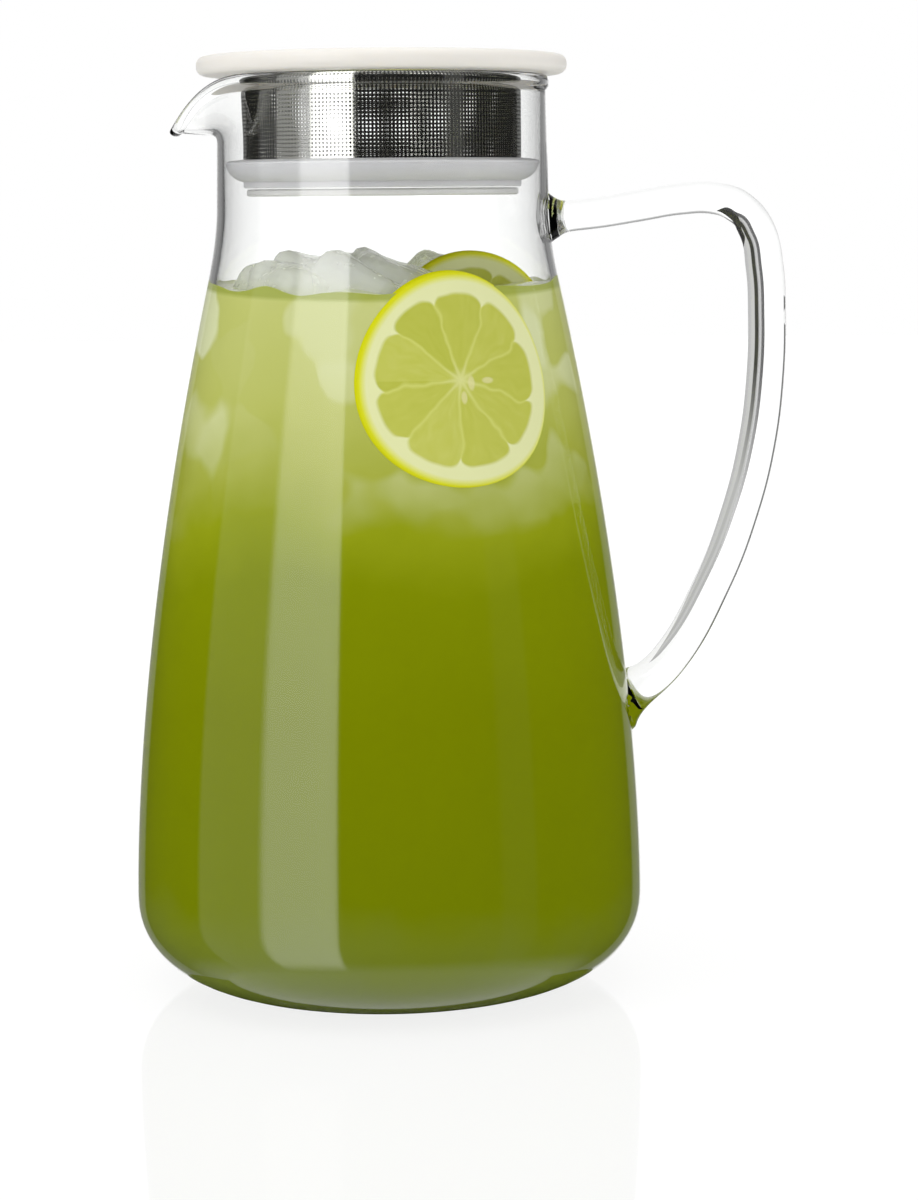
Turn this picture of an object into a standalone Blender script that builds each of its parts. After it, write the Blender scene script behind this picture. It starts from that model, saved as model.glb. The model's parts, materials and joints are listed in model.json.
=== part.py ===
"""Glass tea pitcher with a pulled spout, a welded rod handle and a lift-out strainer lid.

Metres, +Z up. The origin is the middle of the flat base. The handle points along +X and
the spout along -X. Turned outlines are lists of (radius, height) points.
"""

from math import acos, cos, pi, radians, sin, sqrt, tau

import bmesh
import bpy
from mathutils import Vector

# Every turned piece has this many sides, so that the pieces of the lid face each other side to side.
SIDES = 60
# Clearance between pieces that touch on the real pitcher.
GAP = 0.0003
# Points nearer than this are one point.
MERGE_DISTANCE = 0.00001
# Edges that bend more than this stay sharp.
SHARP_ANGLE = radians(40)

# Jug body: outside radii, the heights of the rim and the widest place, and the lengths in between.
BASE_RADIUS = 0.0340
BODY_RADIUS = 0.0667
WIDEST_HEIGHT = 0.0240
SHOULDER_RADIUS = 0.0461
SHOULDER_LENGTH = 0.0200
NECK_RADIUS = 0.0435
NECK_LENGTH = 0.0335
RIM_NECK_RADIUS = 0.0428
RIM_HEIGHT = 0.2385
# Shape of the lower corner and of the flank: powers, not lengths.
CORNER_POWER = 2.23
FLANK_POWER = 1.71
# Glass thickness, and the straight bore that the lid's seal slides in.
WALL = 0.0020
BASE_THICKNESS = 0.0034
NECK_BORE = 0.0415
# Fire-polished bead around the rim.
BEAD_RADIUS = 0.0437
BEAD_DEPTH = 0.0042

# Spout, pulled out of the neck and bent down. Its length is from its root up to the rim.
SPOUT_REACH = 0.0557
SPOUT_DROP = 0.0150
SPOUT_LENGTH = 0.0155
SPOUT_HALF_ANGLE = radians(45)
SPOUT_DROOP_POWER = 1.6
SPOUT_FOLD_SHARE = 0.06

# Handle: a solid glass rod, thin along the top and thicker in the grip. The drop is from the rim.
HANDLE_TOP_DROP = 0.0315
HANDLE_LOW_HEIGHT = 0.0742
HANDLE_STANDOFF = 0.0343
HANDLE_GRIP_THICKNESS = 0.0100
HANDLE_GRIP_WIDTH = 0.0112
WELD_DEPTH = 0.0070

# Lid disc, and how far it overhangs the rim bead.
DISC_OVERHANG = 0.0047
DISC_THICKNESS = 0.0050
DISC_EDGE_RADIUS = 0.0022
# Spigot under the disc, inside the top of the strainer band.
SPIGOT_HEIGHT = 0.0024
SPIGOT_WALL = 0.0018
# Strainer band: perforated sheet. Each window here stands for a patch of its fine holes.
BAND_RADIUS = 0.0364
BAND_SHEET = 0.0006
BAND_LENGTH = 0.0262
BAND_PLAIN_EDGE = 0.0052
WINDOW_ROWS = 4
WINDOW_BAR = 0.0014
# Lower collar: carries the seal and holds the band's lower edge.
COLLAR_FLANGE_HEIGHT = 0.0047
COLLAR_WALL = 0.0019
# Lip seal: a foot under the band and a flared lip that meets the neck.
SEAL_FOOT_HEIGHT = 0.0027
SEAL_FOOT_WIDTH = 0.0020
SEAL_LIP_HEIGHT = 0.0047
SEAL_LIP_FALL = 0.0006
SEAL_LIP_EDGE = 0.0008
# Ring below the seal.
RING_HEIGHT = 0.0018
RING_WIDTH = 0.0038
RING_STEP = 0.0008

# Places along the handle's middle line: the share of its reach, from the weld to the outermost
# point, and the share of its rise, from the low weld to the top run.
TOP_RUN_SHARES = (
    (0.00, 0.955), (0.09, 0.959), (0.25, 0.967), (0.42, 0.979), (0.60, 0.991), (0.76, 0.992),
)
BEND_SHARES = ((0.868, 0.974), (0.950, 0.928), (0.985, 0.855), (0.995, 0.770))
GRIP_SHARES = ((0.980, 0.640), (0.916, 0.500), (0.797, 0.370), (0.603, 0.230), (0.285, 0.075))
LOW_END_SHARES = ((0.00, 0.00),)
# The rod's thickness at each of those places, as shares of the grip's.
THICKNESS_SHARES = (
    1.22, 0.79, 0.82, 0.83, 0.83, 0.85,
    0.90, 0.96, 1.00, 1.00,
    1.00, 1.00, 0.99, 0.98, 0.98,
    1.10,
)

# Heights that follow from the rim's.
NECK_HEIGHT = RIM_HEIGHT - NECK_LENGTH
SHOULDER_HEIGHT = NECK_HEIGHT - SHOULDER_LENGTH
SPOUT_ROOT_HEIGHT = RIM_HEIGHT - SPOUT_LENGTH
HANDLE_TOP_HEIGHT = RIM_HEIGHT - HANDLE_TOP_DROP


def clear_scene():
    for obj in list(bpy.data.objects):
        bpy.data.objects.remove(obj, do_unlink=True)


def new_collection(name, hidden=False):
    collection = bpy.data.collections.new(name)
    bpy.context.scene.collection.children.link(collection)
    collection.hide_render = hidden
    return collection


def new_material(name, color, roughness, metallic=0.0, transmission=0.0):
    material = bpy.data.materials.new(name)
    material.use_nodes = True
    shader = material.node_tree.nodes["Principled BSDF"]
    shader.inputs["Base Color"].default_value = (*color, 1.0)
    shader.inputs["Roughness"].default_value = roughness
    shader.inputs["Metallic"].default_value = metallic
    shader.inputs["Transmission Weight"].default_value = transmission
    return material


def link(name, data, collection, material=None):
    obj = bpy.data.objects.new(name, data)
    collection.objects.link(obj)
    if material:
        data.materials.append(material)
    return obj


def turned(name, outline, collection, material=None, closed=True):
    """A solid of revolution. The outline runs down its outer side; an open one ends on the axis."""
    points = [(radius, 0.0, height) for radius, height in outline]
    edges = [(i, i + 1) for i in range(len(points) - 1)]
    if closed:
        edges.append((len(points) - 1, 0))
    profile = bpy.data.meshes.new(name)
    profile.from_pydata(points, edges, [])
    obj = link(name, profile, collection, material)
    screw = obj.modifiers.new("Turn", "SCREW")
    screw.axis = "Z"
    screw.steps = SIDES
    screw.render_steps = SIDES
    screw.use_merge_vertices = True
    screw.merge_threshold = MERGE_DISTANCE
    screw.use_smooth_shade = True
    return obj


def baked(obj):
    """Replaces the object's modifiers by the mesh that they make."""
    bpy.context.view_layer.update()
    graph = bpy.context.evaluated_depsgraph_get()
    mesh = bpy.data.meshes.new_from_object(obj.evaluated_get(graph))
    mesh.name = obj.name
    obj.modifiers.clear()
    obj.data = mesh
    return obj


def weld_close_points(mesh):
    shape = bmesh.new()
    shape.from_mesh(mesh)
    bmesh.ops.remove_doubles(shape, verts=shape.verts, dist=MERGE_DISTANCE)
    shape.to_mesh(mesh)
    shape.free()


def shade(mesh):
    mesh.shade_smooth()
    mesh.set_sharp_from_angle(angle=SHARP_ANGLE)


def arc(centre, radii, start, end, steps):
    """Points on an ellipse around centre, from one angle to another, both ends included."""
    angles = [start + (end - start) * i / steps for i in range(steps + 1)]
    return [(centre[0] + radii[0] * cos(a), centre[1] + radii[1] * sin(a)) for a in angles]


def curve_points(start, control, end, steps):
    """Points on a quadratic Bezier curve, both ends included."""
    points = []
    for i in range(steps + 1):
        t = i / steps
        near, middle, far = (1 - t) ** 2, 2 * t * (1 - t), t**2
        points.append(tuple(near * a + middle * b + far * c for a, b, c in zip(start, control, end)))
    return points


def flank_radius(height):
    """Outside radius of the long cone between the widest place and the shoulder."""
    rise = (height - WIDEST_HEIGHT) / (SHOULDER_HEIGHT - WIDEST_HEIGHT)
    return BODY_RADIUS - (BODY_RADIUS - SHOULDER_RADIUS) * rise**FLANK_POWER


def lower_corner(floor_height, side_radius, steps):
    """From the flat of the base out and up to the widest place, as a quarter of a superellipse."""
    points = []
    for i in range(steps + 1):
        angle = pi / 2 * i / steps
        outward = sin(angle) ** (2 / CORNER_POWER)
        upward = 1 - cos(angle) ** (2 / CORNER_POWER) if i < steps else 1
        radius = BASE_RADIUS + (side_radius - BASE_RADIUS) * outward
        points.append((radius, floor_height + (WIDEST_HEIGHT - floor_height) * upward))
    return points


def flank(inset, steps):
    rise = SHOULDER_HEIGHT - WIDEST_HEIGHT
    heights = [WIDEST_HEIGHT + rise * i / steps for i in range(1, steps)]
    return [(flank_radius(height) - inset, height) for height in heights]


def shoulder(inset, neck_radius, steps):
    """The soft hollow between the cone and the neck. Its control point lies on the cone's line."""
    low = (SHOULDER_RADIUS - inset, SHOULDER_HEIGHT)
    slope = FLANK_POWER * (BODY_RADIUS - SHOULDER_RADIUS) / (SHOULDER_HEIGHT - WIDEST_HEIGHT)
    bend_height = SHOULDER_HEIGHT + (SHOULDER_RADIUS - inset - neck_radius) / slope
    return curve_points(low, (neck_radius, bend_height), (neck_radius, NECK_HEIGHT), steps)


def neck_rows(low_radius, high_radius, high, steps):
    """Rows of points up the spout's part of the neck, close together so that the spout can bend."""
    rows = []
    for i in range(steps):
        height = SPOUT_ROOT_HEIGHT - WALL + (high - SPOUT_ROOT_HEIGHT + WALL) * i / steps
        share = (height - NECK_HEIGHT) / (RIM_HEIGHT - NECK_HEIGHT)
        rows.append((low_radius + (high_radius - low_radius) * share, height))
    return rows


def jug_outside(steps=6):
    """From the middle of the base up to the foot of the rim bead."""
    bead_foot = RIM_HEIGHT - BEAD_DEPTH
    return (
        [(0.0, 0.0)]
        + lower_corner(0.0, BODY_RADIUS, steps)
        + flank(0.0, steps)
        + shoulder(0.0, NECK_RADIUS, steps // 2)
        + neck_rows(NECK_RADIUS, RIM_NECK_RADIUS, bead_foot, steps - 1)
        + [(RIM_NECK_RADIUS, bead_foot)]
    )


def jug_inside(steps=6):
    """From the middle of the floor up the inner side to the rim bead."""
    bead_middle = RIM_HEIGHT - BEAD_DEPTH / 2
    return (
        [(0.0, BASE_THICKNESS)]
        + lower_corner(BASE_THICKNESS, BODY_RADIUS - WALL, steps - 1)
        + flank(WALL, steps - 1)
        + shoulder(WALL, NECK_BORE, steps // 2)
        + neck_rows(NECK_BORE, NECK_BORE, bead_middle, steps - 1)
    )


def rim_bead():
    """Over the rim from the inner side to the outer one."""
    middle = ((BEAD_RADIUS + NECK_BORE) / 2, RIM_HEIGHT - BEAD_DEPTH / 2)
    return arc(middle, ((BEAD_RADIUS - NECK_BORE) / 2, BEAD_DEPTH / 2), pi, -pi / 6, 7)


def spout_surface(angle, share):
    """The outer face of the neck with the spout pulled out of it.

    angle is measured from the spout's middle and share runs from its root to the rim. In plan
    the rim's two sides leave the circle as tangents and meet in a rounded point."""
    roundness = SPOUT_HALF_ANGLE - acos(NECK_RADIUS / SPOUT_REACH)
    turn = max(SPOUT_HALF_ANGLE - sqrt(angle**2 + roundness**2), 0.0)
    pull = NECK_RADIUS / cos(turn) - NECK_RADIUS
    drop = SPOUT_DROP * (pull / (SPOUT_REACH - NECK_RADIUS)) ** SPOUT_DROOP_POWER
    bent = (sqrt(share**2 + SPOUT_FOLD_SHARE**2) + share) / 2
    radius = NECK_RADIUS + pull * bent
    height = SPOUT_ROOT_HEIGHT + (RIM_HEIGHT - SPOUT_ROOT_HEIGHT) * share - drop * bent
    return Vector((-radius * cos(angle), -radius * sin(angle), height))


def pull_spout(point):
    """Where a point of the plain neck lies once the spout is pulled."""
    angle = Vector((-1.0, 0.0)).angle_signed(Vector((point.x, point.y)), 0.0) * -1
    share = (point.z - SPOUT_ROOT_HEIGHT) / (RIM_HEIGHT - SPOUT_ROOT_HEIGHT)
    inward = NECK_RADIUS - sqrt(point.x**2 + point.y**2)
    nudge_share = 0.001
    along = spout_surface(angle + nudge_share, share) - spout_surface(angle - nudge_share, share)
    up = spout_surface(angle, share + nudge_share) - spout_surface(angle, share - nudge_share)
    return spout_surface(angle, share) + up.cross(along).normalized() * inward


def make_jug_body(collection, material):
    outline = jug_inside() + rim_bead() + jug_outside()[::-1]
    body = baked(turned("jug_body", outline, collection, material, closed=False))
    weld_close_points(body.data)
    lowest = SPOUT_ROOT_HEIGHT - WALL - GAP
    for vertex in body.data.vertices:
        around = abs(Vector((-1.0, 0.0)).angle(Vector((vertex.co.x, vertex.co.y)), pi))
        if vertex.co.z > lowest and around < SPOUT_HALF_ANGLE:
            vertex.co = pull_spout(vertex.co)
    shade(body.data)
    return body


def handle_points():
    """The rod's middle line, from inside the upper weld to inside the lower one."""
    shares = TOP_RUN_SHARES + BEND_SHARES + GRIP_SHARES + LOW_END_SHARES
    rise = HANDLE_TOP_HEIGHT - HANDLE_LOW_HEIGHT
    reach = BODY_RADIUS + HANDLE_STANDOFF
    points = []
    for i, (outward, upward) in enumerate(shares):
        wall = NECK_RADIUS if i < len(TOP_RUN_SHARES) + len(BEND_SHARES) else flank_radius(HANDLE_LOW_HEIGHT)
        points.append(Vector((wall + (reach - wall) * outward, 0.0, HANDLE_LOW_HEIGHT + rise * upward)))
    return points


def make_handle(collection, cutters, material, body):
    points = handle_points()
    inward = Vector((-WELD_DEPTH, 0.0, 0.0))
    downward = Vector((0.0, 0.0, -WELD_DEPTH))
    points = [points[0] + inward] + points + [points[-1] + inward + downward]
    sizes = THICKNESS_SHARES[:1] + THICKNESS_SHARES + THICKNESS_SHARES[-1:]
    curve = bpy.data.curves.new("handle_rod", "CURVE")
    curve.dimensions = "3D"
    curve.bevel_depth = HANDLE_GRIP_THICKNESS / 2
    curve.bevel_resolution = 5
    curve.resolution_u = 4
    curve.use_fill_caps = True
    spline = curve.splines.new("BEZIER")
    spline.bezier_points.add(len(points) - 1)
    for target, point, size in zip(spline.bezier_points, points, sizes):
        target.co = point
        target.radius = size
        target.handle_left_type = "AUTO"
        target.handle_right_type = "AUTO"
    rod = link("handle_rod", curve, collection)
    bpy.context.view_layer.update()
    graph = bpy.context.evaluated_depsgraph_get()
    mesh = bpy.data.meshes.new_from_object(rod.evaluated_get(graph))
    weld_close_points(mesh)
    for vertex in mesh.vertices:
        vertex.co.y *= HANDLE_GRIP_WIDTH / HANDLE_GRIP_THICKNESS
    handle = link("handle", mesh, collection, material)
    handle.matrix_world = rod.matrix_world
    bpy.data.objects.remove(rod, do_unlink=True)

    grown = [(radius + GAP, height) for radius, height in jug_outside()[1:]]
    outline = [(0.0, RIM_HEIGHT - BEAD_DEPTH)] + grown[::-1] + [(0.0, 0.0)]
    cutter = turned("handle_weld_cutter", outline, cutters, closed=False)
    cutter.display_type = "WIRE"
    cutter.hide_render = True
    cut = handle.modifiers.new("Trim to the jug", "BOOLEAN")
    cut.operation = "DIFFERENCE"
    cut.solver = "EXACT"
    cut.object = cutter
    shade(mesh)
    handle.parent = body
    return handle


def lid_piece(name, outline, bottom, collection, material, parent):
    """A turned piece of the lid, placed by the height of its bottom below the lid's seat."""
    piece = turned(name, outline, collection, material)
    piece.location.z = bottom
    piece.parent = parent
    return piece


def make_disc(collection, material, lid):
    radius = BEAD_RADIUS + DISC_OVERHANG
    edge = DISC_EDGE_RADIUS
    top = arc((radius - edge, DISC_THICKNESS - edge), (edge, edge), pi / 2, 0.0, 4)
    bottom = arc((radius - edge, edge), (edge, edge), 0.0, -pi / 2, 4)
    outline = [(0.0, DISC_THICKNESS)] + top + bottom + [(0.0, 0.0)]
    disc = turned("lid_disc", outline, collection, material, closed=False)
    disc.parent = lid
    return disc


def ring_outline(outer, inner, height):
    return [(outer, height), (outer, 0.0), (inner, 0.0), (inner, height)]


def make_spigot(collection, material, lid):
    outer = BAND_RADIUS - BAND_SHEET - GAP
    outline = ring_outline(outer, outer - SPIGOT_WALL, SPIGOT_HEIGHT)
    return lid_piece("disc_spigot", outline, -GAP - SPIGOT_HEIGHT, collection, material, lid)


def make_band(collection, material, lid):
    """A cylinder of the sheet with rows of windows left open, thickened inward."""
    sheet = bmesh.new()
    height_of_windows = BAND_LENGTH - 2 * BAND_PLAIN_EDGE
    pitch = (height_of_windows + WINDOW_BAR) / WINDOW_ROWS
    levels = [0.0]
    for row in range(WINDOW_ROWS):
        levels += [BAND_PLAIN_EDGE + pitch * row, BAND_PLAIN_EDGE + pitch * (row + 1) - WINDOW_BAR]
    levels.append(BAND_LENGTH)
    rings = []
    for level in levels:
        angles = [tau * i / SIDES for i in range(SIDES)]
        rings.append([sheet.verts.new((BAND_RADIUS * cos(a), BAND_RADIUS * sin(a), level)) for a in angles])
    for row, (low, high) in enumerate(zip(rings, rings[1:])):
        for side in range(SIDES):
            window = row % 2 == 1 and side % 2 == 1
            if not window:
                after = (side + 1) % SIDES
                sheet.faces.new((low[side], low[after], high[after], high[side]))
    mesh = bpy.data.meshes.new("strainer_band")
    sheet.to_mesh(mesh)
    sheet.free()
    band = link("strainer_band", mesh, collection, material)
    thickness = band.modifiers.new("Sheet", "SOLIDIFY")
    thickness.thickness = BAND_SHEET
    thickness.offset = -1.0
    shade(mesh)
    band.location.z = -GAP - BAND_LENGTH
    band.parent = lid
    return band


def seal_foot_outer():
    return BAND_RADIUS


def seal_foot_inner():
    return seal_foot_outer() - SEAL_FOOT_WIDTH


def seal_bottom():
    """Height of the seal's bottom below the lid's seat: the band stands on the seal's foot."""
    return -GAP - BAND_LENGTH - GAP - SEAL_FOOT_HEIGHT


def make_collar(collection, material, lid):
    """The upper part fills the band; the lower part goes through the seal's foot."""
    flange = BAND_RADIUS - BAND_SHEET - GAP
    neck = seal_foot_inner() - GAP
    step = SEAL_FOOT_HEIGHT + GAP
    top = step + COLLAR_FLANGE_HEIGHT
    inner = neck - COLLAR_WALL
    outline = [(flange, top), (flange, step), (neck, step), (neck, 0.0), (inner, 0.0), (inner, top)]
    return lid_piece("lower_collar", outline, seal_bottom(), collection, material, lid)


def make_seal(collection, material, seal_axis):
    band_side = BAND_RADIUS + GAP
    lip = NECK_BORE - GAP
    top = SEAL_FOOT_HEIGHT + SEAL_LIP_HEIGHT
    tip_top = (lip, top - SEAL_LIP_FALL)
    tip_low = (lip, top - SEAL_LIP_FALL - SEAL_LIP_EDGE)
    foot_top = (seal_foot_outer(), SEAL_FOOT_HEIGHT - SEAL_LIP_EDGE)
    bend = (lip - SEAL_LIP_EDGE, foot_top[1] + SEAL_LIP_EDGE)
    outline = (
        [(band_side, top), tip_top]
        + curve_points(tip_low, bend, foot_top, 4)
        + [(seal_foot_outer(), 0.0), (seal_foot_inner(), 0.0)]
        + [(seal_foot_inner(), SEAL_FOOT_HEIGHT), (band_side, SEAL_FOOT_HEIGHT)]
    )
    return lid_piece("lip_seal", outline, seal_bottom(), collection, material, seal_axis)


def make_retaining_ring(collection, material, lid):
    outer = seal_foot_outer() - RING_STEP
    outline = ring_outline(outer, outer - RING_WIDTH, RING_HEIGHT)
    bottom = seal_bottom() - GAP - RING_HEIGHT
    return lid_piece("retaining_ring", outline, bottom, collection, material, lid)


def make_axis_empty(name, collection, parent):
    """An empty on the pitcher's middle line, at the height where the lid rests."""
    empty = link(name, None, collection)
    empty.empty_display_size = BODY_RADIUS
    if parent:
        empty.parent = parent
    else:
        empty.location.z = RIM_HEIGHT + GAP
    return empty


def main():
    clear_scene()
    pitcher = new_collection("tea_pitcher")
    cutters = new_collection("cutters", hidden=True)
    glass = new_material("clear_glass", (0.93, 0.96, 0.95), 0.03, transmission=1.0)
    disc_plastic = new_material("frosted_plastic", (0.74, 0.73, 0.69), 0.45)
    collar_plastic = new_material("milky_plastic", (0.80, 0.80, 0.79), 0.40)
    silicone = new_material("grey_silicone", (0.58, 0.58, 0.61), 0.55)
    steel = new_material("stainless_sheet", (0.62, 0.62, 0.60), 0.28, metallic=1.0)

    body = make_jug_body(pitcher, glass)
    make_handle(pitcher, cutters, glass, body)

    seal_axis = make_axis_empty("lid_lift_axis", pitcher, None)
    lid = make_axis_empty("lid_turn_axis", pitcher, seal_axis)
    make_seal(pitcher, silicone, seal_axis)
    make_disc(pitcher, disc_plastic, lid)
    make_spigot(pitcher, collar_plastic, lid)
    make_band(pitcher, steel, lid)
    make_collar(pitcher, collar_plastic, lid)
    make_retaining_ring(pitcher, collar_plastic, lid)


main()
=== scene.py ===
"""Glass tea pitcher: the looks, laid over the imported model.

Metres, +Z up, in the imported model's own frame: the handle points along +X, the spout along -X and
the camera looks along +Y. Turned outlines are lists of (radius, height) points.
"""

import json
from math import acos, atan2, cos, exp, hypot, pi, radians, sin, sqrt, tau

import bmesh
import bpy
from bpy.props import BoolProperty, FloatProperty, FloatVectorProperty, IntProperty, PointerProperty
from mathutils import Euler, Matrix, Vector, noise

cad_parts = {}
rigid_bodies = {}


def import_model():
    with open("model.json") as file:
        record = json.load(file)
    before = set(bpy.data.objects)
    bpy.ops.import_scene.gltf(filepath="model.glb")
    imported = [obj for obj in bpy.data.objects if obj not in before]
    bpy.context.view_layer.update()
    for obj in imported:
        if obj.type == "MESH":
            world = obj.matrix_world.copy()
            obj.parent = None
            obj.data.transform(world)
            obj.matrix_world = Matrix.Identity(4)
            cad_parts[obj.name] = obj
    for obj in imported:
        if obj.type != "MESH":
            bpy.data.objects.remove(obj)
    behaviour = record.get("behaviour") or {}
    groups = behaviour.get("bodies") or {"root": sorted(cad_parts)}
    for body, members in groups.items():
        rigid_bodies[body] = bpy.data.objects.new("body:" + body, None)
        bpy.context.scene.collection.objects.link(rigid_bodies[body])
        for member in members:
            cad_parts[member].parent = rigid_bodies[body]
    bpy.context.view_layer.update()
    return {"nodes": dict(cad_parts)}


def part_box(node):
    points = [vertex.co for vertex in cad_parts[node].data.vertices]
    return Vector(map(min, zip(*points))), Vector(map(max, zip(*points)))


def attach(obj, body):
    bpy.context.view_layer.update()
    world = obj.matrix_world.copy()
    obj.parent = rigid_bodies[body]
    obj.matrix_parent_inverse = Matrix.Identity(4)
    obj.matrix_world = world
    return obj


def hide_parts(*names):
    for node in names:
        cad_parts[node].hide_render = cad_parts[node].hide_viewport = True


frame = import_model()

bl_info = {
    "name": "Glass Tea Pitcher",
    "version": (1, 0, 0),
    "blender": (4, 5, 0),
    "location": "View3D > Sidebar > Pitcher",
    "description": "Builds a blown glass pitcher with a strainer lid, its iced tea and a small studio",
    "category": "Add Mesh",
}

BODY_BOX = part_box("jug_body")
BAND_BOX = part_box("strainer_band")
DISC_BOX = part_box("lid_disc")
SEAL_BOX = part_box("lip_seal")
RING_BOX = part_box("retaining_ring")

# The glass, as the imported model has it.
BASE_RADIUS = 0.0340
BODY_RADIUS = BODY_BOX[1].y
WIDEST_HEIGHT = 0.0240
SHOULDER_RADIUS = 0.0461
NECK_RADIUS = 0.0435
RIM_NECK_RADIUS = 0.0428
RIM_HEIGHT = BODY_BOX[1].z
NECK_HEIGHT = RIM_HEIGHT - 0.0335
SHOULDER_HEIGHT = NECK_HEIGHT - 0.0200
CORNER_POWER = 2.23
FLANK_POWER = 1.71
NECK_BORE = 0.0415
BASE_THICKNESS = 0.0034
BEAD_RADIUS = 0.0437
BEAD_DEPTH = 0.0042
SPOUT_REACH = 0.0557
SPOUT_DROP = 0.0150
SPOUT_ROOT_HEIGHT = RIM_HEIGHT - 0.0155
SPOUT_HALF_ANGLE = radians(45)
SPOUT_DROOP_POWER = 1.6
SPOUT_FOLD_SHARE = 0.06
HANDLE_TOP_HEIGHT = RIM_HEIGHT - 0.0315
HANDLE_LOW_HEIGHT = 0.0742
HANDLE_REACH = BODY_RADIUS + 0.0343
# Places along the handle's middle line, as shares of its reach and of its rise, with the rod's
# thickness there as a share of the grip's.
TOP_RUN = (
    (0.00, 0.955, 1.00), (0.09, 0.959, 0.80), (0.25, 0.967, 0.82), (0.42, 0.979, 0.83),
    (0.60, 0.991, 0.83), (0.76, 0.992, 0.85), (0.868, 0.974, 0.90), (0.950, 0.928, 0.96),
    (0.985, 0.855, 1.00), (0.995, 0.770, 1.00),
)
GRIP_RUN = (
    (0.980, 0.640, 1.00), (0.916, 0.500, 1.00), (0.797, 0.370, 0.99), (0.603, 0.230, 0.98),
    (0.285, 0.075, 0.98), (0.00, 0.00, 1.00),
)
# The disc's dished top inside its rim, and how the seal's lip and foot are drawn.
DISH_DEPTH = 0.0004
DISH_RIM = 0.0050
DISH_SLOPE = 0.0012
SEAL_FOOT = 0.0027
LIP_TIP = 0.0004
SEAL_EDGE = 0.0003
RING_EDGE = 0.0004
RING_WIDTH = 0.0038
# The slice on the wall, seen from above: its turn about the neck's line and its height.
FRONT_SLICE_TURN = radians(-66.5)
FRONT_SLICE_HEIGHT = 0.1612
FRONT_SLICE_THICKNESS = 0.0050
BACK_SLICE_PLACE = (0.0230, 0.0030, 0.1722)
BACK_SLICE_TURN = (radians(94), 0.0, radians(-6))
BACK_SLICE_RADIUS = 0.0208
BACK_SLICE_THICKNESS = 0.0045
# Each cube's middle, its turns in degrees, and whether its ice is cloudy.
ICE_CUBES = (
    ((-0.0200, -0.0185, 0.1762), (12, 10, 30), True), ((-0.0075, -0.0195, 0.1772), (25, 10, 70), True),
    ((-0.0155, -0.0030, 0.1782), (15, 8, 40), True), ((0.0010, -0.0050, 0.1780), (8, 22, 20), True),
    ((-0.0265, 0.0020, 0.1745), (5, 20, 50), True), ((-0.0100, 0.0220, 0.1760), (20, 15, 10), True),
    ((0.0140, 0.0200, 0.1762), (38, 30, 25), False),
)
# Tea stands this far into the glass, so that no air shows between the two.
SUNK = 0.0004
# How far the tea climbs the glass, how uneven its surface is, and how far it dips at the front.
FILM_RISE = 0.0012
SURFACE_WAVE = 0.0022
FRONT_DIP = 0.0026
# Each lamp's place, its width and height, and its watts.
LAMPS = {
    "top_light": ((-0.2, -0.1, 1.5), (1.2, 1.2), 9.0),
    "left_light": ((-1.3, -0.9, 0.7), (0.6, 1.4), 9.0),
    "right_light": ((1.2, -0.6, 0.6), (0.6, 1.4), 6.0),
}
LAMP_AIM = Vector((0, 0, 0.12))
CAMERA_YAW = -0.00094
CIRCLE_SIDES = 256
TINY = 1e-6


# Settings, shown in the panel.


class GlassSettings(bpy.types.PropertyGroup):
    wall: FloatProperty(
        name="Wall", description="Thickness of the blown wall", default=0.0020, unit="LENGTH"
    )
    punt: FloatProperty(
        name="Punt", description="How far the middle of the base is pushed up", default=0.0008, unit="LENGTH"
    )
    grip_thickness: FloatProperty(
        name="Grip thickness", description="Thickness of the handle's rod, seen from the side",
        default=0.0100, unit="LENGTH",
    )
    grip_width: FloatProperty(
        name="Grip width", description="Width of the handle's rod, across the hand", default=0.0112,
        unit="LENGTH"
    )
    weld_spread: FloatProperty(
        name="Weld spread",
        description="How much the melted rod spreads at its welds, as a share of its thickness",
        default=0.36, subtype="FACTOR",
    )
    weld_reach: FloatProperty(
        name="Weld reach", description="How far from the wall the melted spread fades", default=0.0021,
        unit="LENGTH"
    )
    tint: FloatVectorProperty(
        name="Tint", description="Colour of the clear glass", subtype="COLOR", size=4, min=0.0, max=1.0,
        default=(0.992, 0.996, 0.993, 1.0),
    )


class LidSettings(bpy.types.PropertyGroup):
    edge_radius: FloatProperty(
        name="Disc edge", description="Rounding of the frosted disc's edge", default=0.0022, unit="LENGTH"
    )
    columns: IntProperty(
        name="Hole columns", description="Holes around the strainer band", default=224, min=24
    )
    rows: IntProperty(name="Hole rows", description="Rows of holes up the strainer band", default=23, min=4)
    hole: FloatProperty(
        name="Hole", description="Width of each round hole in the band", default=0.00069, unit="LENGTH"
    )
    sheet: FloatProperty(
        name="Sheet", description="Thickness of the steel sheet", default=0.0003, unit="LENGTH"
    )
    plain_edge: FloatProperty(
        name="Plain edge", description="Height of the unperforated strip at the band's bottom",
        default=0.0016, unit="LENGTH",
    )


class ServingSettings(bpy.types.PropertyGroup):
    filled: BoolProperty(name="Filled", description="Pour iced tea into the pitcher", default=True)
    fill_height: FloatProperty(
        name="Fill height", description="Height of the tea's surface above the base", default=0.1842,
        unit="LENGTH"
    )
    slice_radius: FloatProperty(
        name="Slice radius", description="Radius of a lemon slice", default=0.0272, unit="LENGTH"
    )
    cube: FloatProperty(name="Ice cube", description="Side of an ice cube", default=0.0250, unit="LENGTH")


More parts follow.
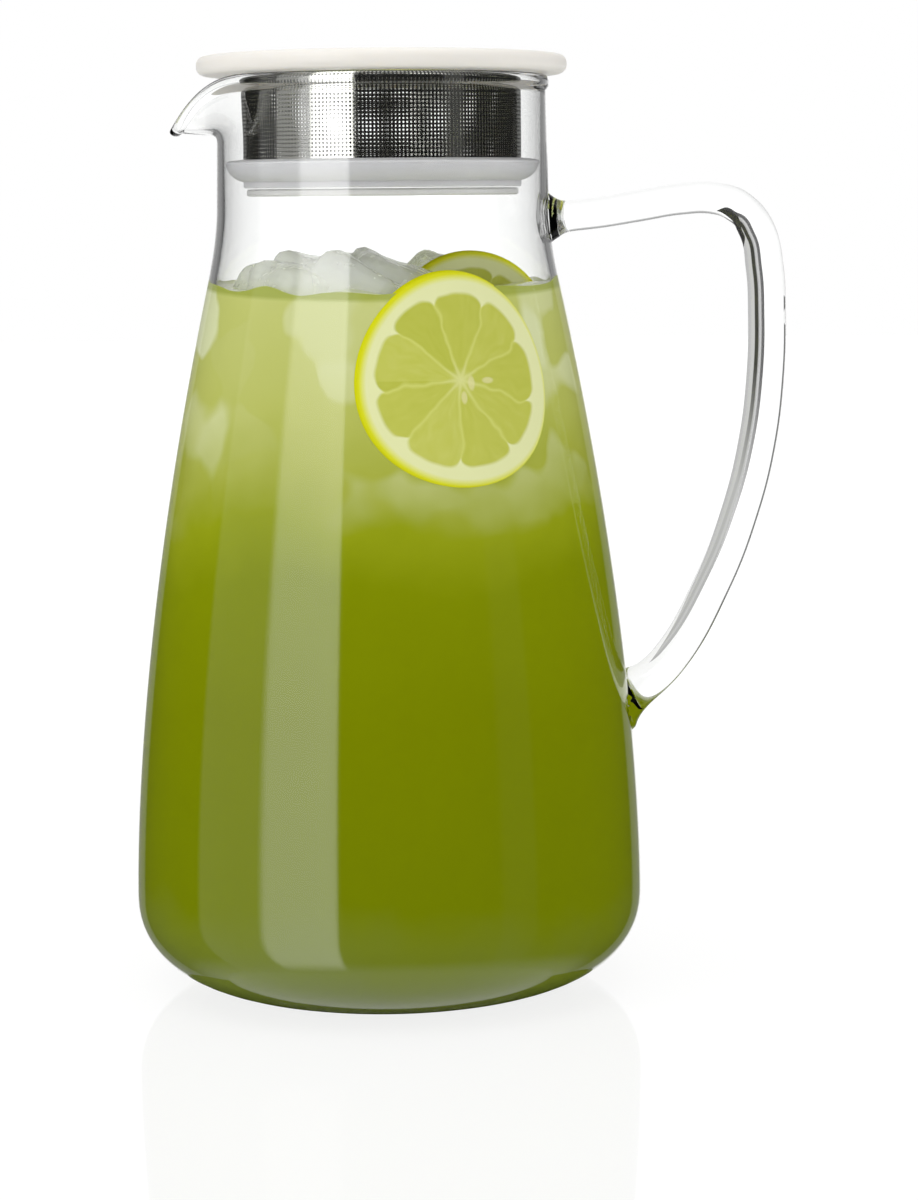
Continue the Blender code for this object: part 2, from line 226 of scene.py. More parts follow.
class StudioSettings(bpy.types.PropertyGroup):
    lens: FloatProperty(name="Lens", description="Focal length of the camera", default=94.8, unit="CAMERA")
    distance: FloatProperty(
        name="Distance", description="From the camera to the pitcher's middle line", default=0.8312,
        unit="LENGTH"
    )
    camera_height: FloatProperty(
        name="Camera height", description="Height of the lens above the table", default=0.2052, unit="LENGTH"
    )
    camera_side: FloatProperty(
        name="Camera side", description="How far the lens stands towards the handle", default=0.0187,
        unit="LENGTH"
    )
    pitch: FloatProperty(
        name="Pitch", description="How far the camera looks down", default=0.0685, unit="ROTATION"
    )
    roll: FloatProperty(
        name="Roll", description="How far the camera leans", default=-0.0085, unit="ROTATION"
    )
    shift: FloatProperty(name="Shift", description="Vertical shift of the frame", default=-0.15)
    table_radius: FloatProperty(
        name="Table radius", description="Radius of the white table", default=4.0, unit="LENGTH"
    )
    fill_light: FloatProperty(
        name="Fill light", description="Brightness of the even light from all round", default=0.62
    )


class PitcherSettings(bpy.types.PropertyGroup):
    glass: PointerProperty(type=GlassSettings)
    lid: PointerProperty(type=LidSettings)
    serving: PointerProperty(type=ServingSettings)
    studio: PointerProperty(type=StudioSettings)


# Small helpers for nodes and meshes.


def srgb(code):
    """A hex colour such as "c8cdd2" as linear red, green, blue and alpha."""
    parts = [int(code[i : i + 2], 16) / 255 for i in (0, 2, 4)]
    return (*[p / 12.92 if p <= 0.04045 else ((p + 0.055) / 1.055) ** 2.4 for p in parts], 1.0)


def grey(value):
    return (value, value, value, 1.0)


def colour_of(value):
    """A hex code or a grey level as a colour. A colour or a socket stays as it is."""
    if isinstance(value, str):
        return srgb(value)
    return grey(value) if isinstance(value, float) else value


def add_node(tree, kind, inputs=None, **settings):
    """Adds a node, sets its properties, and gives each input a value or a link."""
    node = tree.nodes.new(kind)
    for name, value in settings.items():
        setattr(node, name, value)
    for name, value in (inputs or {}).items():
        socket = node.inputs[name]
        if isinstance(value, bpy.types.NodeSocket):
            tree.links.new(value, socket)
        else:
            socket.default_value = value
    return node


def math_node(tree, operation, *values):
    return add_node(tree, "ShaderNodeMath", dict(enumerate(values)), operation=operation).outputs[0]


def times(tree, a, b):
    return math_node(tree, "MULTIPLY", a, b)


def plus(tree, a, b):
    return math_node(tree, "ADD", a, b)


def minus(tree, a, b):
    return math_node(tree, "SUBTRACT", a, b)


def vector_math(tree, operation, a, b):
    return add_node(tree, "ShaderNodeVectorMath", {0: a, 1: b}, operation=operation).outputs[0]


def length_of(tree, vector):
    return add_node(tree, "ShaderNodeVectorMath", {0: vector}, operation="LENGTH").outputs["Value"]


def axes_of(tree, vector):
    return add_node(tree, "ShaderNodeSeparateXYZ", {"Vector": vector}).outputs


def object_place(tree):
    return add_node(tree, "ShaderNodeTexCoord").outputs["Object"]


def remap(tree, value, low, high, to_low=0.0, to_high=1.0, smooth=False):
    """The value, with low to high spread over to_low to to_high and held there."""
    inputs = {"Value": value, "From Min": low, "From Max": high, "To Min": to_low, "To Max": to_high}
    kind = "SMOOTHSTEP" if smooth else "LINEAR"
    return add_node(tree, "ShaderNodeMapRange", inputs, interpolation_type=kind).outputs[0]


def noise_at(tree, place, scale, detail, roughness=0.5):
    """Noise whose lumps are 1 / scale metres apart."""
    inputs = {"Vector": place, "Scale": scale, "Detail": detail, "Roughness": roughness}
    return add_node(tree, "ShaderNodeTexNoise", inputs).outputs["Fac"]


def bumped(tree, height, distance, strength):
    inputs = {"Height": height, "Distance": distance, "Strength": strength}
    return add_node(tree, "ShaderNodeBump", inputs).outputs[0]


def principled(tree, inputs):
    return add_node(tree, "ShaderNodeBsdfPrincipled", inputs).outputs[0]


def mix_shader(tree, factor, a, b):
    return add_node(tree, "ShaderNodeMixShader", {0: factor, 1: a, 2: b}).outputs[0]


def new_material(name):
    """A material with an empty tree but for its output, and that tree."""
    material = bpy.data.materials.new(name)
    material.use_nodes = True
    tree = material.node_tree
    tree.nodes.clear()
    return material, tree


def finish_material(tree, surface):
    add_node(tree, "ShaderNodeOutputMaterial", {"Surface": surface})


def ramp(tree, factor, stops):
    """A colour ramp with (place, colour) stops."""
    node = add_node(tree, "ShaderNodeValToRGB", {"Fac": factor})
    elements = node.color_ramp.elements
    while len(elements) > 1:
        elements.remove(elements[-1])
    elements[0].position, elements[0].color = stops[0][0], colour_of(stops[0][1])
    for place, colour in stops[1:]:
        elements.new(place).color = colour_of(colour)
    return node.outputs["Color"]


def mix_colour(tree, factor, a, b, blend="MIX"):
    node = add_node(tree, "ShaderNodeMix", data_type="RGBA", blend_type=blend)
    sockets = node.inputs[0], node.inputs[6], node.inputs[7]
    for socket, value in zip(sockets, (factor, colour_of(a), colour_of(b))):
        if isinstance(value, bpy.types.NodeSocket):
            tree.links.new(value, socket)
        else:
            socket.default_value = value
    return node.outputs[2]


def mesh_from(shape, name):
    """The bmesh as a mesh. The bmesh is freed."""
    mesh = bpy.data.meshes.new(name)
    shape.to_mesh(mesh)
    shape.free()
    return mesh


def link_object(name, mesh, material=None):
    obj = bpy.data.objects.new(name, mesh)
    bpy.context.scene.collection.objects.link(obj)
    if material:
        mesh.materials.clear()
        mesh.materials.append(material)
    return obj


def shade(mesh, angle=40):
    mesh.shade_smooth()
    mesh.set_sharp_from_angle(angle=radians(angle))


def evaluated_mesh(obj, name):
    """The object's mesh with its modifiers in it."""
    bpy.context.view_layer.update()
    graph = bpy.context.evaluated_depsgraph_get()
    mesh = bpy.data.meshes.new_from_object(obj.evaluated_get(graph))
    mesh.name = name
    return mesh


def turned(name, outline, sides, closed=True):
    """A mesh of revolution. A point on the axis closes the shape there."""
    shape = bmesh.new()
    rings = []
    for radius, height in outline:
        around = range(1 if radius < TINY else sides)
        rings.append(
            [
                shape.verts.new((radius * cos(tau * i / sides), radius * sin(tau * i / sides), height))
                for i in around
            ]
        )
    pairs = list(zip(rings, rings[1:]))
    if closed:
        pairs.append((rings[-1], rings[0]))
    for upper, lower in pairs:
        for i in range(sides):
            j = (i + 1) % sides
            corners = [
                upper[i % len(upper)], upper[j % len(upper)], lower[j % len(lower)], lower[i % len(lower)]
            ]
            corners = list(dict.fromkeys(corners))
            if len(corners) > 2:
                shape.faces.new(corners)
    bmesh.ops.recalc_face_normals(shape, faces=shape.faces)
    return mesh_from(shape, name)


def arc(centre, radii, start, end, steps):
    angles = [start + (end - start) * i / steps for i in range(steps + 1)]
    return [(centre[0] + radii[0] * cos(a), centre[1] + radii[1] * sin(a)) for a in angles]


def bezier(start, control, end, steps):
    points = []
    for i in range(steps + 1):
        t = i / steps
        near, middle, far = (1 - t) ** 2, 2 * t * (1 - t), t**2
        points.append(tuple(near * a + middle * b + far * c for a, b, c in zip(start, control, end)))
    return points


# The glass: jug, spout and handle.


def flank_radius(height):
    rise = (height - WIDEST_HEIGHT) / (SHOULDER_HEIGHT - WIDEST_HEIGHT)
    return BODY_RADIUS - (BODY_RADIUS - SHOULDER_RADIUS) * max(rise, 0.0) ** FLANK_POWER


def lower_corner(floor_height, side_radius, steps):
    points = []
    for i in range(steps + 1):
        angle = pi / 2 * i / steps
        outward = sin(angle) ** (2 / CORNER_POWER)
        upward = 1 - cos(angle) ** (2 / CORNER_POWER) if i < steps else 1
        radius = BASE_RADIUS + (side_radius - BASE_RADIUS) * outward
        points.append((radius, floor_height + (WIDEST_HEIGHT - floor_height) * upward))
    return points


def flank(inset, steps):
    rise = SHOULDER_HEIGHT - WIDEST_HEIGHT
    return [
        (flank_radius(WIDEST_HEIGHT + rise * i / steps) - inset, WIDEST_HEIGHT + rise * i / steps)
        for i in range(1, steps)
    ]


def shoulder(inset, neck_radius, steps):
    slope = FLANK_POWER * (BODY_RADIUS - SHOULDER_RADIUS) / (SHOULDER_HEIGHT - WIDEST_HEIGHT)
    bend = SHOULDER_HEIGHT + (SHOULDER_RADIUS - inset - neck_radius) / slope
    return bezier(
        (SHOULDER_RADIUS - inset, SHOULDER_HEIGHT), (neck_radius, bend), (neck_radius, NECK_HEIGHT), steps
    )


def neck_rows(low_radius, high_radius, high, wall, steps):
    low = SPOUT_ROOT_HEIGHT - wall
    rows = []
    for i in range(steps):
        height = low + (high - low) * i / steps
        share = (height - NECK_HEIGHT) / (RIM_HEIGHT - NECK_HEIGHT)
        rows.append((low_radius + (high_radius - low_radius) * share, height))
    return rows


def jug_outside(glass, steps=36):
    """From the middle of the pushed-up base to the foot of the rim bead."""
    foot = RIM_HEIGHT - BEAD_DEPTH
    base = [(BASE_RADIUS * i / 8, glass.punt * (1 - (i / 8) ** 2)) for i in range(8)]
    return (
        base
        + lower_corner(0.0, BODY_RADIUS, steps // 2)
        + flank(0.0, steps)
        + shoulder(0.0, NECK_RADIUS, steps // 4)
        + neck_rows(NECK_RADIUS, RIM_NECK_RADIUS, foot, glass.wall, steps // 2)
        + [(RIM_NECK_RADIUS, foot)]
    )


def jug_inside(glass, steps=36):
    middle = RIM_HEIGHT - BEAD_DEPTH / 2
    base = [(BASE_RADIUS * i / 8, BASE_THICKNESS + glass.punt * (1 - (i / 8) ** 2)) for i in range(8)]
    return (
        base
        + lower_corner(BASE_THICKNESS, BODY_RADIUS - glass.wall, steps // 2)
        + flank(glass.wall, steps)
        + shoulder(glass.wall, NECK_BORE, steps // 4)
        + neck_rows(NECK_BORE, NECK_BORE, middle, glass.wall, steps // 2)
    )


def inner_radius(height, glass):
    """Radius of the jug's inner side at a height, between its rows."""
    rows = [row for row in jug_inside(glass) if row[0] > BASE_RADIUS]
    for (near, low), (far, high) in zip(rows, rows[1:]):
        if low <= height <= high:
            return near + (far - near) * (height - low) / max(high - low, TINY)
    return rows[-1][0]


def spout_surface(angle, share):
    roundness = SPOUT_HALF_ANGLE - acos(NECK_RADIUS / SPOUT_REACH)
    turn = max(SPOUT_HALF_ANGLE - sqrt(angle**2 + roundness**2), 0.0)
    pull = NECK_RADIUS / cos(turn) - NECK_RADIUS
    drop = SPOUT_DROP * (pull / (SPOUT_REACH - NECK_RADIUS)) ** SPOUT_DROOP_POWER
    bent = (sqrt(share**2 + SPOUT_FOLD_SHARE**2) + share) / 2
    radius = NECK_RADIUS + pull * bent
    height = SPOUT_ROOT_HEIGHT + (RIM_HEIGHT - SPOUT_ROOT_HEIGHT) * share - drop * bent
    return Vector((-radius * cos(angle), -radius * sin(angle), height))


def pull_spout(point):
    """Where a point of the plain neck lies once the spout is pulled."""
    angle = atan2(-point.y, -point.x)
    share = (point.z - SPOUT_ROOT_HEIGHT) / (RIM_HEIGHT - SPOUT_ROOT_HEIGHT)
    inward = NECK_RADIUS - hypot(point.x, point.y)
    nudge = 0.001
    along = spout_surface(angle + nudge, share) - spout_surface(angle - nudge, share)
    up = spout_surface(angle, share + nudge) - spout_surface(angle, share - nudge)
    return spout_surface(angle, share) + up.cross(along).normalized() * inward


def blown_jug(glass, sides=CIRCLE_SIDES):
    bead = ((BEAD_RADIUS + NECK_BORE) / 2, RIM_HEIGHT - BEAD_DEPTH / 2)
    radii = ((BEAD_RADIUS - NECK_BORE) / 2, BEAD_DEPTH / 2)
    outline = jug_inside(glass) + arc(bead, radii, pi, -pi / 6, 20) + jug_outside(glass)[::-1]
    mesh = turned("glass_jug", outline, sides, closed=False)
    lowest = SPOUT_ROOT_HEIGHT - glass.wall - 0.0003
    for vertex in mesh.vertices:
        if vertex.co.z > lowest and abs(atan2(-vertex.co.y, -vertex.co.x)) < SPOUT_HALF_ANGLE:
            vertex.co = pull_spout(vertex.co)
    return mesh


def handle_line(steps):
    """Points along the rod's middle line with the rod's thickness there as a share of the grip's."""
    rise = HANDLE_TOP_HEIGHT - HANDLE_LOW_HEIGHT
    low_wall = flank_radius(HANDLE_LOW_HEIGHT)
    stops = []
    for run, wall in ((TOP_RUN, NECK_RADIUS), (GRIP_RUN, low_wall)):
        for outward, upward, thickness in run:
            place = Vector((wall + (HANDLE_REACH - wall) * outward, 0.0, HANDLE_LOW_HEIGHT + rise * upward))
            stops.append((place, thickness))
    depth = 0.0070
    stops.insert(0, (stops[0][0] + Vector((-depth, 0, 0)), stops[0][1]))
    stops.append((stops[-1][0] + Vector((-depth, 0, -depth)), stops[-1][1]))
    curve = bpy.data.curves.new("handle_line", "CURVE")
    curve.dimensions = "3D"
    curve.resolution_u = steps
    spline = curve.splines.new("BEZIER")
    spline.bezier_points.add(len(stops) - 1)
    for target, (place, _) in zip(spline.bezier_points, stops):
        target.co = place
        target.handle_left_type = target.handle_right_type = "AUTO"
    line = link_object("handle_line", curve)
    path = [vertex.co.copy() for vertex in evaluated_mesh(line, "handle_path").vertices]
    bpy.data.objects.remove(line)
    sizes = []
    for i in range(len(path)):
        stop, share = divmod(i / steps, 1)
        near, far = stops[int(stop)][1], stops[min(int(stop) + 1, len(stops) - 1)][1]
        sizes.append(near + (far - near) * share * share * (3 - 2 * share))
    return path, sizes


def bent_rod(glass, steps=14, sides=40):
    """The handle's solid rod. Near the wall each point spreads as the melted glass does."""
    path, sizes = handle_line(steps)
    shape = bmesh.new()
    rings = []
    for i, (place, size) in enumerate(zip(path, sizes)):
        along = (path[min(i + 1, len(path) - 1)] - path[max(i - 1, 0)]).normalized()
        up = along.cross(Vector((0, 1, 0))).normalized()
        ring = []
        for k in range(sides):
            angle = tau * k / sides
            high = up * cos(angle) * glass.grip_thickness / 2 * size
            wide = Vector((0, 1, 0)) * sin(angle) * glass.grip_width / 2 * size
            point = place + high + wide
            wall = flank_radius(point.z) if point.z < SHOULDER_HEIGHT else NECK_RADIUS
            away = max(hypot(point.x, point.y) - wall, 0.0)
            spread = 1 + glass.weld_spread * exp(-away / glass.weld_reach)
            ring.append(shape.verts.new(place + (high + wide) * spread))
        rings.append(ring)
    for lower, upper in zip(rings, rings[1:]):
        for k in range(sides):
            j = (k + 1) % sides
            shape.faces.new((lower[k], lower[j], upper[j], upper[k]))
    shape.faces.new(rings[0])
    shape.faces.new(rings[-1])
    bmesh.ops.recalc_face_normals(shape, faces=shape.faces)
    return mesh_from(shape, "bent_rod")


def combined(first, second, operation):
    """The mesh of a Boolean between two meshes."""
    a, b = link_object("first", first), link_object("second", second)
    modifier = a.modifiers.new("Combine", "BOOLEAN")
    modifier.operation = operation
    modifier.solver = "EXACT"
    modifier.object = b
    mesh = evaluated_mesh(a, first.name)
    bpy.data.objects.remove(a)
    bpy.data.objects.remove(b)
    return mesh


def glass_material(glass):
    """Borosilicate glass, blown and flame-welded: clear, faintly cool where it is thick, with the
    slow waves of a hand-blown wall. Lamps and diffuse light pass straight through."""
    material, tree = new_material("clear_borosilicate_glass")
    place = object_place(tree)
    # Waves about 25 mm apart and under 0.06 mm deep, stretched up the wall as the gather is drawn.
    stretch = add_node(tree, "ShaderNodeMapping", {"Vector": place, "Scale": (1.0, 1.0, 0.35)}).outputs[0]
    waves = noise_at(tree, stretch, 40.0, 1.0)
    bump = bumped(tree, waves, 0.00006, 0.5)
    shader = principled(tree, {
        "Base Color": glass.tint, "Roughness": 0.0, "IOR": 1.473, "Transmission Weight": 1.0,
        "Normal": bump
    })
    clear = add_node(tree, "ShaderNodeBsdfTransparent").outputs[0]
    path = add_node(tree, "ShaderNodeLightPath").outputs
    passes = math_node(tree, "MAXIMUM", path["Is Shadow Ray"], path["Is Diffuse Ray"])
    finish_material(tree, mix_shader(tree, passes, shader, clear))
    return material


class MakeGlass(bpy.types.Operator):
    """Blow the jug with its spout and weld the handle to it"""

    bl_idname = "tea_pitcher.make_glass"
    bl_label = "Glass Jug and Handle"

    def execute(self, context):
        glass = context.scene.tea_pitcher.glass
        # The rod is trimmed to the middle of the wall, so that it fuses and never shows inside.
        skin = [
            (radius - glass.wall / 2, height)
            for radius, height in jug_outside(glass) if radius > BASE_RADIUS
        ]
        skin = [(0.0, skin[0][1])] + skin + [(0.0, skin[-1][1])]
        rod = combined(bent_rod(glass), turned("weld_trim", skin, CIRCLE_SIDES, closed=False), "DIFFERENCE")
        mesh = combined(blown_jug(glass), rod, "UNION")
        shade(mesh, 60)
        jug = link_object("glass_jug", mesh, glass_material(glass))
        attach(jug, "jug")
        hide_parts("jug_body", "handle")
        return {"FINISHED"}


# The lid: disc, strainer band, seal and rings.


def frosted_plastic():
    """Frosted copolyester, moulded with a fine etched texture: milky white, lets some light
    through, soft dull shine."""
    material, tree = new_material("frosted_copolyester")
    place = object_place(tree)
    # Etch about 0.25 mm across.
    etch = noise_at(tree, place, 4000.0, 2.0)
    clouds = noise_at(tree, place, 30.0, 2.0)
    colour = mix_colour(tree, clouds, "e3e0db", "dedbd5")
    bump = bumped(tree, etch, 0.00002, 0.4)
    shader = principled(tree, {
        "Base Color": colour, "Roughness": 0.42, "IOR": 1.57, "Normal": bump,
        "Subsurface Weight": 0.6, "Subsurface Radius": (1.0, 0.95, 0.85), "Subsurface Scale": 0.004,
    })
    finish_material(tree, shader)
    return material


def milky_plastic():
    """Translucent polypropylene, moulded: milky, slightly waxy shine with faint flow marks."""
    material, tree = new_material("milky_polypropylene")
    place = object_place(tree)
    flow = noise_at(tree, place, 90.0, 2.0)
    colour = mix_colour(tree, flow, "eeeeec", "e6e6e4")
    bump = bumped(tree, flow, 0.00005, 0.3)
    shader = principled(tree, {
        "Base Color": colour, "Roughness": 0.34, "IOR": 1.49, "Normal": bump, "Transmission Weight": 0.25,
        "Subsurface Weight": 0.4, "Subsurface Radius": (1.0, 1.0, 1.0), "Subsurface Scale": 0.003,
    })
    finish_material(tree, shader)
    return material


def grey_silicone():
    """Silicone rubber, moulded: cool translucent grey with a soft, slightly greasy shine."""
    material, tree = new_material("translucent_silicone")
    place = object_place(tree)
    haze = noise_at(tree, place, 120.0, 3.0)
    colour = mix_colour(tree, haze, "cfcfd0", "c3c3c6")
    bump = bumped(tree, haze, 0.00004, 0.3)
    shader = principled(tree, {
        "Base Color": colour, "Roughness": 0.48, "IOR": 1.41, "Normal": bump,
        "Subsurface Weight": 0.5, "Subsurface Radius": (0.9, 0.95, 1.0), "Subsurface Scale": 0.003,
    })
    finish_material(tree, shader)
    return material


def strainer_steel():
    """Stainless steel sheet, rolled and photo-etched: bright, with fine rolling lines around it."""
    material, tree = new_material("rolled_stainless_steel")
    place = object_place(tree)
    # Rolling lines about 0.2 mm apart run around the band.
    stretch = add_node(tree, "ShaderNodeMapping", {"Vector": place, "Scale": (1.0, 1.0, 60.0)}).outputs[0]
    lines = noise_at(tree, stretch, 80.0, 3.0)
    rough = remap(tree, lines, 0.0, 1.0, 0.05, 0.11)
    colour = mix_colour(tree, lines, "c2c2bc", "b6b6b0")
    shader = principled(tree, {"Base Color": colour, "Roughness": rough, "Metallic": 1.0})
    finish_material(tree, shader)
    return material


class MakeDisc(bpy.types.Operator):
    """Turn the frosted lid disc"""

    bl_idname = "tea_pitcher.make_disc"
    bl_label = "Lid Disc"

    def execute(self, context):
        edge = context.scene.tea_pitcher.lid.edge_radius
        low, high, radius = DISC_BOX[0].z, DISC_BOX[1].z, DISC_BOX[1].x
        top = arc((radius - edge, high - edge), (edge, edge), pi / 2, 0.0, 12)
        bottom = arc((radius - edge, low + edge), (edge, edge), 0.0, -pi / 2, 12)
        # The top is dished a little inside its rim, as moulded lids are.
        dished = [
            (0.0, high - DISH_DEPTH), (radius - DISH_RIM - DISH_SLOPE, high - DISH_DEPTH),
            (radius - DISH_RIM, high)
        ]
        outline = dished + top + bottom + [(0.0, low)]
        mesh = turned("frosted_disc", outline, CIRCLE_SIDES, closed=False)
        shade(mesh)
        disc = link_object("frosted_disc", mesh, frosted_plastic())
        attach(disc, "lid")
        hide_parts("lid_disc")
        return {"FINISHED"}


def sheet_cell(lid, radius, pitch):
    """One cell of the sheet with its hole: x out of the band, y around it, z up. Few faces,
    because it is repeated thousands of times."""
    flat = radius * cos(pi / lid.columns)
    shape = bmesh.new()
    layers = []
    for depth in (0.0, lid.sheet):
        half = (flat - depth) * sin(pi / lid.columns) / cos(pi / lid.columns)
        corners = [
            shape.verts.new((-depth, y, z))
            for y, z in ((half, -pitch / 2), (half, pitch / 2), (-half, pitch / 2), (-half, -pitch / 2))
        ]
        around = [tau * (i + 0.5) / 6 for i in range(6)]
        hole = [shape.verts.new((-depth, lid.hole / 2 * cos(a), lid.hole / 2 * sin(a))) for a in around]
        layers.append((corners, hole))
    for (corners, hole), flip in zip(layers, (False, True)):
        # Corners: 0 right low, 1 right high, 2 left high, 3 left low. The hole's points start at
        # the right, high, and go round to the left.
        faces = [
            (corners[0], corners[1], hole[0], hole[5]),
            (corners[1], hole[1], hole[0]),
            (corners[1], corners[2], hole[1]),
            (corners[2], hole[2], hole[1]),
            (corners[2], corners[3], hole[3], hole[2]),
            (corners[3], hole[4], hole[3]),
            (corners[3], corners[0], hole[4]),
            (corners[0], hole[5], hole[4]),
        ]
        for face in faces:
            shape.faces.new(face[::-1] if flip else face)
    for i in range(6):
        j = (i + 1) % 6
        shape.faces.new((layers[0][1][i], layers[0][1][j], layers[1][1][j], layers[1][1][i]))
    return mesh_from(shape, "sheet_cell")


def band_tree(material):
    """Geometry Nodes that roll the perforated band: cells around and up it, and two plain edges."""
    tree = bpy.data.node_groups.new("perforated_band", "GeometryNodeTree")
    for name, kind in (
        ("Columns", "NodeSocketInt"), ("Rows", "NodeSocketInt"), ("Radius", "NodeSocketFloat"),
        ("Sheet", "NodeSocketFloat"), ("Bottom", "NodeSocketFloat"), ("Top", "NodeSocketFloat"),
        ("Plain Edge", "NodeSocketFloat"), ("Pitch", "NodeSocketFloat"), ("Cell", "NodeSocketObject"),
    ):
        tree.interface.new_socket(name, in_out="INPUT", socket_type=kind)
    tree.interface.new_socket("Geometry", in_out="OUTPUT", socket_type="NodeSocketGeometry")
    given = add_node(tree, "NodeGroupInput").outputs

    count = times(tree, given["Columns"], given["Rows"])
    index = add_node(tree, "GeometryNodeInputIndex").outputs[0]
    column = math_node(tree, "FLOORED_MODULO", index, given["Columns"])
    row = math_node(tree, "FLOOR", math_node(tree, "DIVIDE", index, given["Columns"]))
    step = math_node(tree, "DIVIDE", tau, given["Columns"])
    angle = times(tree, column, step)
    flat = times(tree, given["Radius"], math_node(tree, "COSINE", times(tree, step, 0.5)))
    first = plus(tree, given["Bottom"], given["Plain Edge"])
    height = plus(tree, first, times(tree, plus(tree, row, 0.5), given["Pitch"]))
    place = add_node(
        tree, "ShaderNodeCombineXYZ",
        {
            "X": times(tree, flat, math_node(tree, "COSINE", angle)),
            "Y": times(tree, flat, math_node(tree, "SINE", angle)),
            "Z": height,
        },
    ).outputs[0]
    points = add_node(tree, "GeometryNodePoints", {"Count": count, "Position": place}).outputs[0]
    turn = add_node(tree, "ShaderNodeCombineXYZ", {"Z": angle}).outputs[0]
    cell = add_node(tree, "GeometryNodeObjectInfo", {"Object": given["Cell"]}).outputs["Geometry"]
    cells = add_node(
        tree, "GeometryNodeInstanceOnPoints", {"Points": points, "Instance": cell, "Rotation": turn}
    ).outputs[0]

    join = add_node(tree, "GeometryNodeJoinGeometry")
    tree.links.new(cells, join.inputs[0])
    mesh_end = plus(tree, first, times(tree, given["Rows"], given["Pitch"]))
    for low, high in ((given["Bottom"], first), (mesh_end, given["Top"])):
        middle = times(tree, plus(tree, low, high), 0.5)
        tall = minus(tree, high, low)
        inset = times(tree, given["Sheet"], 0.5)
        circle = add_node(
            tree, "GeometryNodeCurvePrimitiveCircle",
            {"Resolution": given["Columns"], "Radius": minus(tree, given["Radius"], inset)},
        ).outputs[0]
        strip = add_node(
            tree, "GeometryNodeCurvePrimitiveQuadrilateral", {"Width": given["Sheet"], "Height": tall}
        ).outputs[0]
        ring = add_node(
            tree, "GeometryNodeCurveToMesh", {"Curve": circle, "Profile Curve": strip}
        ).outputs[0]
        raised = add_node(
            tree, "GeometryNodeTransform",
            {
                "Geometry": ring,
                "Translation": add_node(tree, "ShaderNodeCombineXYZ", {"Z": middle}).outputs[0]
            },
        ).outputs[0]
        tree.links.new(raised, join.inputs[0])
    real = add_node(tree, "GeometryNodeRealizeInstances", {"Geometry": join.outputs[0]}).outputs[0]
    finish = add_node(tree, "GeometryNodeSetMaterial", {"Geometry": real, "Material": material}).outputs[0]
    add_node(tree, "NodeGroupOutput", {"Geometry": finish})
    return tree


class MakeStrainer(bpy.types.Operator):
    """Roll the perforated steel band, hole by hole"""

    bl_idname = "tea_pitcher.make_strainer"
    bl_label = "Strainer Band"

    def execute(self, context):
        lid = context.scene.tea_pitcher.lid
        radius, bottom, top = BAND_BOX[1].x, BAND_BOX[0].z, BAND_BOX[1].z
        pitch = tau * radius / lid.columns
        steel = strainer_steel()
        cell = link_object("sheet_cell", sheet_cell(lid, radius, pitch))
        maker = link_object("band_maker", bpy.data.meshes.new("band_maker"))
        modifier = maker.modifiers.new("Perforated band", "NODES")
        tree = band_tree(steel)
        modifier.node_group = tree
        values = {
            "Columns": lid.columns, "Rows": lid.rows, "Radius": radius, "Sheet": lid.sheet, "Bottom": bottom,
            "Top": top, "Plain Edge": lid.plain_edge, "Pitch": pitch, "Cell": cell,
        }
        for item in tree.interface.items_tree:
            if item.in_out == "INPUT":
                modifier[item.identifier] = values[item.name]
        mesh = evaluated_mesh(maker, "perforated_band")
        bpy.data.objects.remove(maker)
        bpy.data.objects.remove(cell)
        shape = bmesh.new()
        shape.from_mesh(mesh)
        bmesh.ops.remove_doubles(shape, verts=shape.verts, dist=0.000002)
        shape.to_mesh(mesh)
        shape.free()
        shade(mesh, 30)
        band = link_object("perforated_band", mesh, steel)
        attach(band, "lid")
        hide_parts("strainer_band")
        return {"FINISHED"}


class MakeSealAndRings(bpy.types.Operator):
    """Turn the silicone lip seal and the moulded rings that carry it"""

    bl_idname = "tea_pitcher.make_seal_and_rings"
    bl_label = "Lip Seal and Rings"

    def execute(self, context):
        low, high, lip = SEAL_BOX[0].z, SEAL_BOX[1].z, SEAL_BOX[1].x
        band = BAND_BOX[1].x
        foot = low + SEAL_FOOT
        top = arc((lip - LIP_TIP, high - 0.0010), (LIP_TIP, LIP_TIP), pi / 2, -pi / 3, 8)
        under = bezier(
            (lip - 0.0002, high - 0.0015), (lip - 0.0012, foot - 0.0002), (band, low + 0.0016), 12
        )
        outline = [(band + SEAL_EDGE, high), (lip - 0.0012, high - SEAL_EDGE)] + top + under
        outline += [
            (band, low + SEAL_EDGE), (band - SEAL_EDGE, low), (band - 0.0020, low), (band - 0.0020, foot),
            (band + SEAL_EDGE, foot)
        ]
        mesh = turned("flared_lip_seal", outline, CIRCLE_SIDES)
        shade(mesh, 35)
        seal = link_object("flared_lip_seal", mesh, grey_silicone())
        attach(seal, "lid_seal")
        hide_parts("lip_seal")

        milky = milky_plastic()
        low, high, outer = RING_BOX[0].z, RING_BOX[1].z, RING_BOX[1].x
        inner, edge = outer - RING_WIDTH, RING_EDGE
        outline = [
            (inner, high), (outer - edge, high), (outer, high - edge), (outer, low + edge),
            (outer - edge, low), (inner, low)
        ]
        mesh = turned("snap_ring", outline, CIRCLE_SIDES)
        shade(mesh, 35)
        ring = link_object("snap_ring", mesh, milky)
        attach(ring, "lid")
        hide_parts("retaining_ring")
        for name in ("disc_spigot", "lower_collar"):
            node = frame["nodes"][name]
            node.data.materials.clear()
            node.data.materials.append(milky)
        return {"FINISHED"}


# The serving: tea, ice and lemon.


